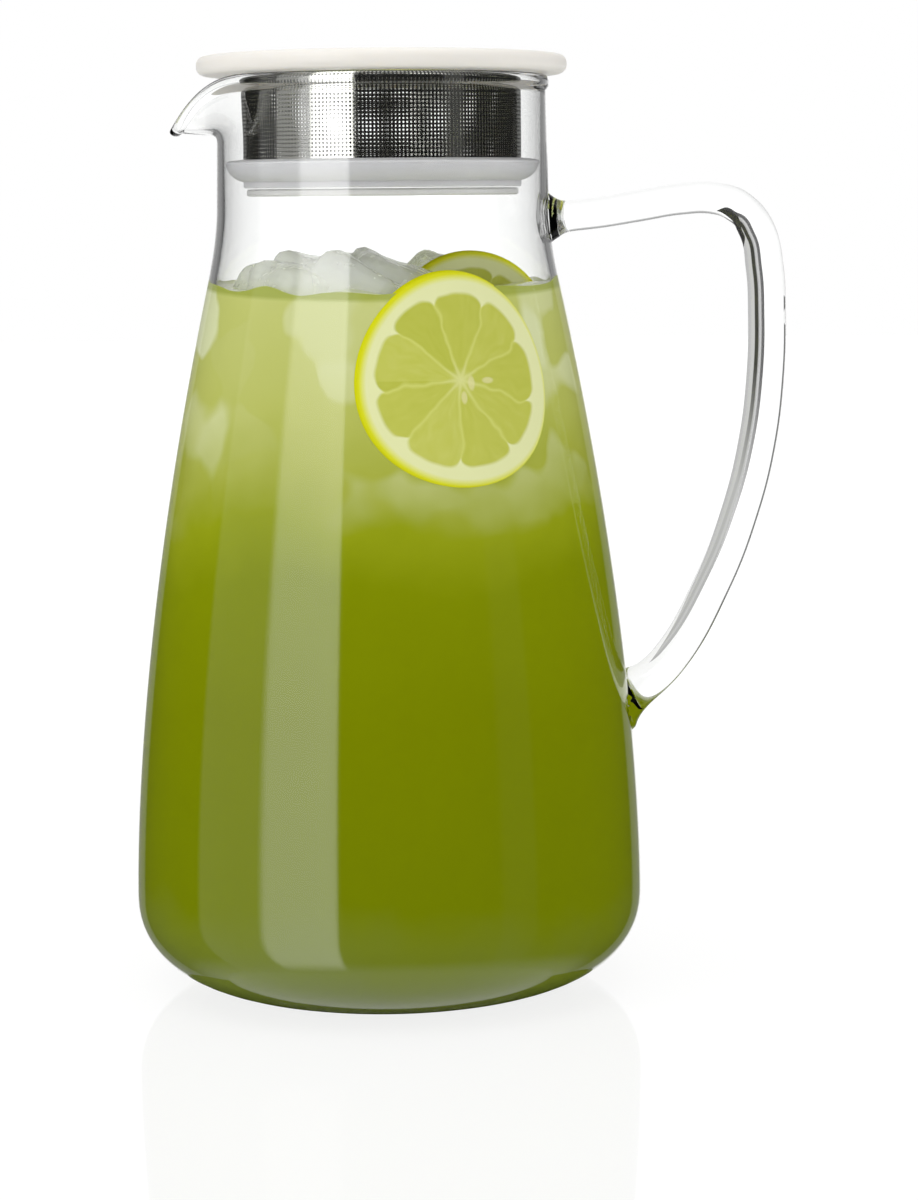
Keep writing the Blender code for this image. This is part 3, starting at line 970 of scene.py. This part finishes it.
def tea_material(level):
    """Cloudy green tea over ice: pale where ice and fruit stand behind it, deep olive below, and greyer
    at the very bottom with painted reflection of the white table. It is wetted by the glass, so it has no
    shine of its own."""
    material, tree = new_material("cloudy_green_tea")
    place = object_place(tree)
    _, forward, height = axes_of(tree, place)
    swirl = noise_at(tree, place, 26.0, 3.0, 0.55)
    drift = times(tree, minus(tree, swirl, 0.5), 0.034)
    share = remap(tree, plus(tree, height, drift), 0.0, 0.19)
    # The two lowest stops are greyer: painted reflection of the white table, seen through the thick base.
    body = ramp(
        tree, share,
        [
            (0.00, "6f7b3a"), (0.08, "6f7b26"), (0.17, "6e7a02"), (0.40, "727d00"),
            (0.57, "798503"), (0.66, "8a9514"), (0.72, "9aa238"), (0.80, "acb257"),
            (0.98, "b9be70"),
        ],
    )
    # Ice cubes about 16 mm wide, blurred by the tea, each with its own paleness.
    bent = mix_colour(
        tree, 0.012, place,
        add_node(tree, "ShaderNodeTexNoise", {"Vector": place, "Scale": 45.0}).outputs["Color"], "ADD"
    )
    cubes = add_node(
        tree, "ShaderNodeTexVoronoi", {"Vector": bent, "Scale": 62.0, "Smoothness": 0.35},
        feature="SMOOTH_F1"
    ).outputs["Color"]
    paleness = add_node(tree, "ShaderNodeSeparateColor", {"Color": cubes}).outputs[0]
    paleness = remap(tree, paleness, 0.30, 0.85)
    iced = remap(tree, plus(tree, height, drift), 0.126, 0.168)
    colour = mix_colour(tree, times(tree, times(tree, iced, paleness), 0.62), body, "dde2c0")
    # The waterline is a thin darker band against the glass, and it dips towards the front.
    front = math_node(tree, "MAXIMUM", times(tree, forward, -1.0), 0.0)
    edge_height = plus(tree, height, times(tree, front, 0.055))
    line = remap(tree, edge_height, level - 0.0013, level - 0.0002)
    colour = mix_colour(tree, times(tree, line, 0.75), colour, "8f9a3c")
    shader = principled(tree, {"Base Color": colour, "Roughness": 0.6, "Specular IOR Level": 0.0})
    finish_material(tree, shader)
    return material


def tea_surface_material():
    """The tea's open surface: wet and mirror-like at a low angle."""
    material, tree = new_material("tea_surface")
    place = object_place(tree)
    swirl = noise_at(tree, place, 50.0, 2.0)
    colour = mix_colour(tree, swirl, "c9cfa0", "b3bb74")
    bump = bumped(tree, swirl, 0.0006, 0.5)
    shader = principled(tree, {"Base Color": colour, "Roughness": 0.05, "IOR": 1.333, "Normal": bump})
    finish_material(tree, shader)
    return material


def ice_material(name, cloud):
    """Ice, wet and glassy. Fast-frozen ice is white with trapped air, slow-frozen ice is clear."""
    material, tree = new_material(name)
    place = object_place(tree)
    ripple = noise_at(tree, place, 220.0, 3.0)
    bump = bumped(tree, ripple, 0.0006, 0.7)
    rough = remap(tree, ripple, 0.4, 0.65, 0.03, 0.30)
    shader = principled(tree, {
        "Base Color": srgb("f6f8f4"), "Roughness": rough, "IOR": 1.31,
        "Transmission Weight": 1.0 - cloud, "Normal": bump
    })
    clear = add_node(tree, "ShaderNodeBsdfTransparent").outputs[0]
    path = add_node(tree, "ShaderNodeLightPath").outputs
    finish_material(
        tree, mix_shader(tree, math_node(tree, "MAXIMUM", path["Is Shadow Ray"], 0.35), shader, clear)
    )
    return material


def lemon_material():
    """A cut lemon steeped in tea: yellow zest, pale pith, and pulp with hardly a wall between its
    segments. The slice's own UV map has its middle at 0, 0 and its edge at a length of 1."""
    material, tree = new_material("lemon_slice")
    uv = add_node(tree, "ShaderNodeUVMap", uv_map="slice").outputs[0]
    axes = axes_of(tree, uv)
    wander = noise_at(tree, uv, 2.3, 2.0)
    out = length_of(tree, uv)
    # The slice is turned, so its rind shows wider on the spout's side.
    shifted = vector_math(tree, "SUBTRACT", uv, (0.035, 0.0, 0.0))
    rim = length_of(tree, shifted)
    rough_out = plus(tree, out, times(tree, minus(tree, wander, 0.5), 0.05))
    angle = math_node(tree, "ARCTAN2", axes["Y"], axes["X"])
    angle = plus(tree, angle, times(tree, wander, 0.55))
    # Nine segments: 0 at the wall between two of them, 0.5 in the middle of one.
    turn = plus(tree, times(tree, angle, 9 / tau), 9.0)
    beside = minus(tree, 0.5, math_node(tree, "ABSOLUTE", minus(tree, math_node(tree, "FRACT", turn), 0.5)))
    from_wall = times(tree, beside, out)
    in_side = remap(tree, from_wall, 0.0, 0.035)
    # Each segment's outer end is round, so the pith reaches in between two of them.
    notch = math_node(tree, "POWER", minus(tree, 1.0, times(tree, beside, 2.0)), 5.0)
    reach = minus(tree, 0.80, times(tree, notch, 0.085))
    in_end = remap(tree, minus(tree, reach, rough_out), -0.012, 0.022)
    in_core = remap(tree, rough_out, 0.00, 0.13, smooth=True)
    fibre_place = add_node(
        tree, "ShaderNodeCombineXYZ",
        {"X": times(tree, angle, 8.0), "Y": times(tree, out, 5.0)},
    ).outputs[0]
    fibres = noise_at(tree, fibre_place, 1.1, 1.5)
    tone = add_node(
        tree, "ShaderNodeTexWhiteNoise", {"W": math_node(tree, "FLOOR", turn)}, noise_dimensions="1D"
    ).outputs["Value"]
    tone = plus(tree, times(tree, tone, 0.45), times(tree, fibres, 0.40))
    pulp = ramp(tree, tone, [(0.15, "aeb348"), (0.50, "b7bb54"), (0.85, "c2c56a")])
    wall = ramp(tree, out, [(0.0, "cfd18a"), (0.22, "c4c86c"), (0.80, "c4c86a")])
    inner = mix_colour(tree, times(tree, in_side, in_core), wall, pulp)
    rind = ramp(
        tree, rim, [(0.0, "d9dcab"), (0.90, "d9dca6"), (0.945, "d2d45e"), (0.965, "cfd028"), (1.0, "c6c70e")]
    )
    colour = mix_colour(tree, in_end, rind, inner)
    # Three pips lie near the middle: their places and half sizes on the slice.
    for across, up, wide, tall in (
        (0.10, -0.03, 0.035, 0.07), (0.02, -0.16, 0.03, 0.06), (0.27, -0.01, 0.06, 0.03)
    ):
        offset = vector_math(tree, "SUBTRACT", uv, (across, up, 0.0))
        scaled = vector_math(tree, "DIVIDE", offset, (wide, tall, 1.0))
        far = length_of(tree, scaled)
        pip = remap(tree, far, 1.15, 0.7, 0.0, 0.7)
        colour = mix_colour(tree, pip, colour, "d6d29a")
    shader = principled(tree, {"Base Color": colour, "Roughness": 0.5, "Specular IOR Level": 0.0})
    finish_material(tree, shader)
    return material


def slice_mesh(name, radius, thickness, place, rings=16, sides=72):
    """A round slice with a rounded rim. place(across, up, deep) gives the point in the pitcher."""
    shape = bmesh.new()
    layer = shape.loops.layers.uv.new("slice")
    rows = [(radius * i / rings, 0.0) for i in range(rings)]
    rows += [
        (radius - thickness / 4 * (1 - sin(a)), thickness / 2 * (1 - cos(a)))
        for a in [pi / 8 * k for k in range(9)]
    ]
    rows += [(radius * (rings - 1 - i) / rings, thickness) for i in range(rings)]
    loops = []
    flat = {}
    for out, deep in rows:
        ring = []
        for i in range(1 if out < TINY else sides):
            angle = tau * i / sides
            across, up = out * cos(angle), out * sin(angle)
            vertex = shape.verts.new(place(across, up, deep))
            flat[vertex] = (across / radius, up / radius)
            ring.append(vertex)
        loops.append(ring)
    for near, far in zip(loops, loops[1:]):
        for i in range(sides):
            j = (i + 1) % sides
            corners = list(
                dict.fromkeys(
                    [near[i % len(near)], near[j % len(near)], far[j % len(far)], far[i % len(far)]]
                )
            )
            face = shape.faces.new(corners)
            for loop in face.loops:
                loop[layer].uv = flat[loop.vert]
    bmesh.ops.recalc_face_normals(shape, faces=shape.faces)
    mesh = mesh_from(shape, name)
    shade(mesh, 60)
    return mesh


def placed(centre, turns):
    return Matrix.Translation(centre) @ Euler(turns).to_matrix().to_4x4()


def ice_cube(side, place, seed):
    """A melted cube: rounded, with uneven faces."""
    shape = bmesh.new()
    bmesh.ops.create_cube(shape, size=side)
    bmesh.ops.bevel(
        shape, geom=shape.edges[:] + shape.verts[:], offset=side * 0.24, segments=4, affect="EDGES",
        profile=0.6
    )
    bmesh.ops.subdivide_edges(shape, edges=shape.edges[:], cuts=2, use_grid_fill=True)
    for vertex in shape.verts:
        wave = noise.noise(vertex.co * (2.1 / side) + Vector((seed * 3.7, 0, 0)))
        vertex.co *= 1 + 0.16 * wave
    bmesh.ops.transform(shape, matrix=place, verts=shape.verts)
    mesh = mesh_from(shape, "ice_cube")
    mesh.shade_smooth()
    return mesh


class MakeServing(bpy.types.Operator):
    """Pour the tea with its ice and lemon, which are shown but aren't part of the pitcher"""

    bl_idname = "tea_pitcher.make_serving"
    bl_label = "Iced Tea"

    def execute(self, context):
        settings = context.scene.tea_pitcher
        glass, serving = settings.glass, settings.serving
        if not serving.filled:
            return {"FINISHED"}
        level = serving.fill_height
        side = [(radius + SUNK, height) for radius, height in jug_inside(glass) if height < level]
        side = [
            (max(radius - SUNK, 0.0) if radius < TINY + SUNK else radius, height - SUNK)
            for radius, height in side
        ]
        edge = inner_radius(level, glass) + SUNK
        film = [
            (edge - inward, level + FILM_RISE * rise)
            for inward, rise in ((0, 1), (0.0006, 0.8), (0.0014, 0.3), (0.0030, 0))
        ]
        film += [(edge * share, level) for share in (0.85, 0.7, 0.55, 0.4, 0.2)] + [(0.0, level)]
        mesh = turned("tea", side + film, 192, closed=False)
        for vertex in mesh.vertices:
            if vertex.co.z > level - 0.001:
                vertex.co.z += SURFACE_WAVE * noise.noise(Vector((vertex.co.x, vertex.co.y, 0.0)) * 70)
                vertex.co.z -= FRONT_DIP * max(-vertex.co.y / edge, 0.0)
        shade(mesh, 50)
        tea = link_object("tea", mesh, tea_material(level))
        mesh.materials.append(tea_surface_material())
        for face in mesh.polygons:
            if face.normal.z > 0.5 and hypot(face.center.x, face.center.y) < edge - 0.0001:
                face.material_index = 1

        lemon, radius = lemon_material(), serving.slice_radius
        height = FRONT_SLICE_HEIGHT

        def on_wall(across, up, deep):
            wall = inner_radius(height + up, glass) + SUNK * 1.6 - deep
            angle = FRONT_SLICE_TURN + across / inner_radius(height, glass)
            return (wall * cos(angle), wall * sin(angle), height + up)

        lean = placed(BACK_SLICE_PLACE, BACK_SLICE_TURN)

        def leaning(across, up, deep):
            return lean @ Vector((across, up, deep))

        for name, size, thickness, place in (
            ("lemon_slice_front", radius, FRONT_SLICE_THICKNESS, on_wall),
            ("lemon_slice_back", BACK_SLICE_RADIUS, BACK_SLICE_THICKNESS, leaning),
        ):
            link_object(name, slice_mesh(name, size, thickness, place), lemon)
        cloudy, bright = ice_material("cloudy_ice", 0.55), ice_material("clear_ice", 0.05)
        for i, (centre, angles, is_cloudy) in enumerate(ICE_CUBES):
            name = f"ice_cube_{i + 1}"
            place = placed(centre, [radians(a) for a in angles])
            link_object(name, ice_cube(serving.cube, place, i), cloudy if is_cloudy else bright)
        return {"FINISHED"}


# The stage: world, table, flags, lamps and camera.


def ray_kinds(tree):
    """1 for a ray that has gone through clear things only, and 1 for one that something mirrored.
    Diffuse light and lamp sampling give 0 for both."""
    path = add_node(tree, "ShaderNodeLightPath").outputs
    sharp = math_node(tree, "MAXIMUM", path["Is Transmission Ray"], path["Is Glossy Ray"])
    sharp = times(tree, sharp, minus(tree, 1.0, path["Is Diffuse Ray"]))
    mirrored = times(tree, sharp, math_node(tree, "MINIMUM", path["Glossy Depth"], 1.0))
    through = minus(tree, sharp, mirrored)
    return through, mirrored, path["Is Camera Ray"]


def studio_world(studio):
    """Even light for matt surfaces. Shiny things mirror a studio: a white screen behind the
    pitcher, tall windows at the front left, and dark in between. Clear things show white."""
    world = bpy.data.worlds.new("studio")
    world.use_nodes = True
    tree = world.node_tree
    tree.nodes.clear()
    look = add_node(tree, "ShaderNodeTexCoord").outputs["Generated"]
    axes = axes_of(tree, look)
    # 0 behind the pitcher, 0.25 on the spout's side, 0.5 at the camera and 0.75 on the handle's side.
    back = times(tree, axes["Y"], -1.0)
    around = remap(tree, math_node(tree, "ARCTAN2", axes["X"], back), -pi, pi)

    # Degrees from straight behind, towards the handle's side, and the brightness mirrored there.
    mirrored_studio = (
        (-180, 1.0), (-168, 1.0), (-165, 0.30), (-149, 0.25), (-146, 0.02), (-95, 0.02), (-93, 0.48),
        (-60, 0.55),
        (-56, 3.2), (-23, 3.5), (-21, 0.02), (51, 0.02), (54, 0.10), (69, 0.10), (72, 0.02), (146, 0.02),
        (149, 0.25), (165, 0.30), (168, 1.0),
    )
    seen = ramp(tree, around, [(0.5 + degrees / 360, level) for degrees, level in mirrored_studio])
    high = remap(tree, axes["Z"], 0.55, 0.80, smooth=True)
    seen = mix_colour(tree, high, seen, 0.7)
    # Through the glass: white, with a dark flag at each corner of the studio and one overhead.
    quarter = math_node(tree, "FRACT", times(tree, around, 4.0))
    clear = ramp(
        tree, quarter,
        [(0.0, 1.2), (0.43, 1.2), (0.45, 0.22), (0.55, 0.22), (0.57, 1.2), (1.0, 1.2)],
    )
    clear = mix_colour(tree, high, clear, 0.2)
    through, mirrored, direct = ray_kinds(tree)
    light = mix_colour(tree, through, grey(studio.fill_light), clear)
    light = mix_colour(tree, mirrored, light, seen)
    light = mix_colour(tree, direct, light, 1.0)
    shader = add_node(tree, "ShaderNodeBackground", {"Color": light, "Strength": 1.0}).outputs[0]
    add_node(tree, "ShaderNodeOutputWorld", {"Surface": shader})
    return world


def table_material():
    """White acrylic board. In mirrors its top shows a painted pool of light, a glow brightest round the
    pitcher that falls off towards the camera and past its sides. It has the faintest mirror of what stands
    on it."""
    material, tree = new_material("white_acrylic_board")
    through, mirrored, direct = ray_kinds(tree)
    place = object_place(tree)
    axes = axes_of(tree, place)
    away = length_of(tree, place)
    # Painted pool of light, seen only in mirrors: a glow that falls off with distance from the pitcher.
    front = ramp(
        tree, remap(tree, away, 0.06, 0.46),
        [(0.0, 1.0), (0.08, 0.8), (0.20, 0.40), (0.40, 0.20), (0.70, 0.06), (1.0, 0.0)],
    )
    left = math_node(tree, "GREATER_THAN", axes["X"], -0.16)
    right = math_node(tree, "LESS_THAN", axes["X"], 0.19)
    behind = math_node(tree, "GREATER_THAN", axes["Y"], -0.04)
    painted_light_pool = mix_colour(tree, behind, front, times(tree, left, right))
    plain = math_node(tree, "MAXIMUM", direct, through)
    matt_colour = mix_colour(tree, plain, 0.88, 0.12)
    matt = add_node(tree, "ShaderNodeBsdfDiffuse", {"Color": matt_colour}).outputs[0]
    # Away from the pitcher's shadow the board is as white as the screen behind it.
    lit = remap(tree, away, 0.25, 0.7, 0.90, 1.05)
    glow = add_node(
        tree, "ShaderNodeEmission", {"Color": grey(1.0), "Strength": times(tree, plain, lit)}
    ).outputs[0]
    both = add_node(tree, "ShaderNodeAddShader", {0: matt, 1: glow}).outputs[0]
    shine = add_node(tree, "ShaderNodeBsdfGlossy", {"Color": grey(1.0), "Roughness": 0.04}).outputs[0]
    top = mix_shader(tree, times(tree, direct, 0.08), both, shine)
    # The painted pool of light glows in the board's mirror view in place of real light.
    painted_pool_glow = add_node(tree, "ShaderNodeEmission", {"Color": painted_light_pool, "Strength": 1.0}).outputs[0]
    skim = add_node(tree, "ShaderNodeFresnel", {"IOR": 1.49}).outputs[0]
    mirror_view = mix_shader(tree, skim, painted_pool_glow, shine)
    finish_material(tree, mix_shader(tree, mirrored, top, mirror_view))
    return material


def flag_material():
    """Flags of black and grey cloth in strips. Only clear things show them, as lines along their
    edges."""
    material, tree = new_material("black_and_grey_flags")
    through, _, _ = ray_kinds(tree)
    axes = axes_of(tree, object_place(tree))
    across = remap(tree, axes["X"], 0.12, 0.52)
    strips = ramp(
        tree, across,
        [(0.0, 0.04), (0.05, 0.04), (0.056, 0.50), (0.095, 0.50), (0.10, 0.05),
         (0.165, 0.05), (0.175, 0.62), (1.0, 0.62)],
    )
    upper = math_node(tree, "GREATER_THAN", axes["Z"], 0.232)
    strips = mix_colour(tree, upper, strips, 0.04)
    lower = remap(tree, axes["Z"], 0.15, 0.10, 0.0, 0.8)
    strips = mix_colour(tree, lower, strips, 0.62)
    cloth = add_node(tree, "ShaderNodeEmission", {"Color": strips, "Strength": 1.0}).outputs[0]
    clear = add_node(tree, "ShaderNodeBsdfTransparent").outputs[0]
    finish_material(tree, mix_shader(tree, through, clear, cloth))
    return material


class MakeStage(bpy.types.Operator):
    """Set the table, the light and the camera"""

    bl_idname = "tea_pitcher.make_stage"
    bl_label = "Studio"

    def execute(self, context):
        scene, studio = context.scene, context.scene.tea_pitcher.studio
        scene.world = studio_world(studio)
        scene.view_settings.view_transform = "Standard"
        outline = [(0.0, -0.0001), (0.5, -0.0001), (1.5, -0.0001), (studio.table_radius, -0.0001)]
        table = link_object("table", turned("table", outline, 128, closed=False), table_material())
        # A flag stands behind the handle, on the side away from the spout.
        left, right, behind, tall = 0.126, 0.520, 0.150, 0.30
        shape = bmesh.new()
        shape.faces.new([shape.verts.new(corner) for corner in (
            (left, behind, 0.0), (right, behind, 0.0), (right, behind, tall), (left, behind, tall)
        )])
        sheet = mesh_from(shape, "flag")
        flag = link_object("flag", sheet, flag_material())
        for name, (place, size, power) in LAMPS.items():
            lamp = bpy.data.lights.new(name, "AREA")
            lamp.shape = "RECTANGLE"
            lamp.size, lamp.size_y = size
            lamp.energy = power
            obj = bpy.data.objects.new(name, lamp)
            obj.location = place
            aim = LAMP_AIM - Vector(place)
            obj.rotation_euler = aim.to_track_quat("-Z", "Y").to_euler()
            obj.visible_glossy = False
            obj.visible_camera = False
            obj.visible_transmission = False
            scene.collection.objects.link(obj)
        camera = bpy.data.cameras.new("camera")
        camera.sensor_fit = "VERTICAL"
        camera.sensor_height = 36.0
        camera.lens = studio.lens
        camera.shift_y = studio.shift
        view = bpy.data.objects.new("camera", camera)
        view.location = (studio.camera_side, -studio.distance, studio.camera_height)
        turn = Euler(
            (pi / 2 - studio.pitch, 0.0, CAMERA_YAW)
        ).to_matrix() @ Matrix.Rotation(studio.roll, 3, "Z")
        view.rotation_euler = turn.to_euler()
        scene.collection.objects.link(view)
        scene.camera = view
        return {"FINISHED"}


class PitcherPanel(bpy.types.Panel):
    """The pitcher's sizes and the buttons that build it"""

    bl_idname = "VIEW3D_PT_tea_pitcher"
    bl_label = "Glass Tea Pitcher"
    bl_space_type = "VIEW_3D"
    bl_region_type = "UI"
    bl_category = "Pitcher"

    def draw(self, context):
        settings = context.scene.tea_pitcher
        for group, operators in (
            (settings.glass, (MakeGlass,)),
            (settings.lid, (MakeDisc, MakeStrainer, MakeSealAndRings)),
            (settings.serving, (MakeServing,)),
            (settings.studio, (MakeStage,)),
        ):
            box = self.layout.box()
            for name in group.bl_rna.properties.keys():
                if name not in ("rna_type", "name"):
                    box.prop(group, name)
            for operator in operators:
                box.operator(operator.bl_idname)


OPERATORS = (MakeGlass, MakeDisc, MakeStrainer, MakeSealAndRings, MakeServing, MakeStage)
CLASSES = (
    GlassSettings, LidSettings, ServingSettings, StudioSettings, PitcherSettings, *OPERATORS, PitcherPanel
)


def register():
    for cls in CLASSES:
        bpy.utils.register_class(cls)
    bpy.types.Scene.tea_pitcher = PointerProperty(type=PitcherSettings)


def unregister():
    del bpy.types.Scene.tea_pitcher
    for cls in reversed(CLASSES):
        bpy.utils.unregister_class(cls)


def main():
    for obj in list(bpy.data.objects):
        if obj.type in ("CAMERA", "LIGHT") or obj.name == "Cube":
            bpy.data.objects.remove(obj)
    register()
    for operator in OPERATORS:
        group, name = operator.bl_idname.split(".")
        getattr(getattr(bpy.ops, group), name)()


if __name__ == "__main__":
    main()
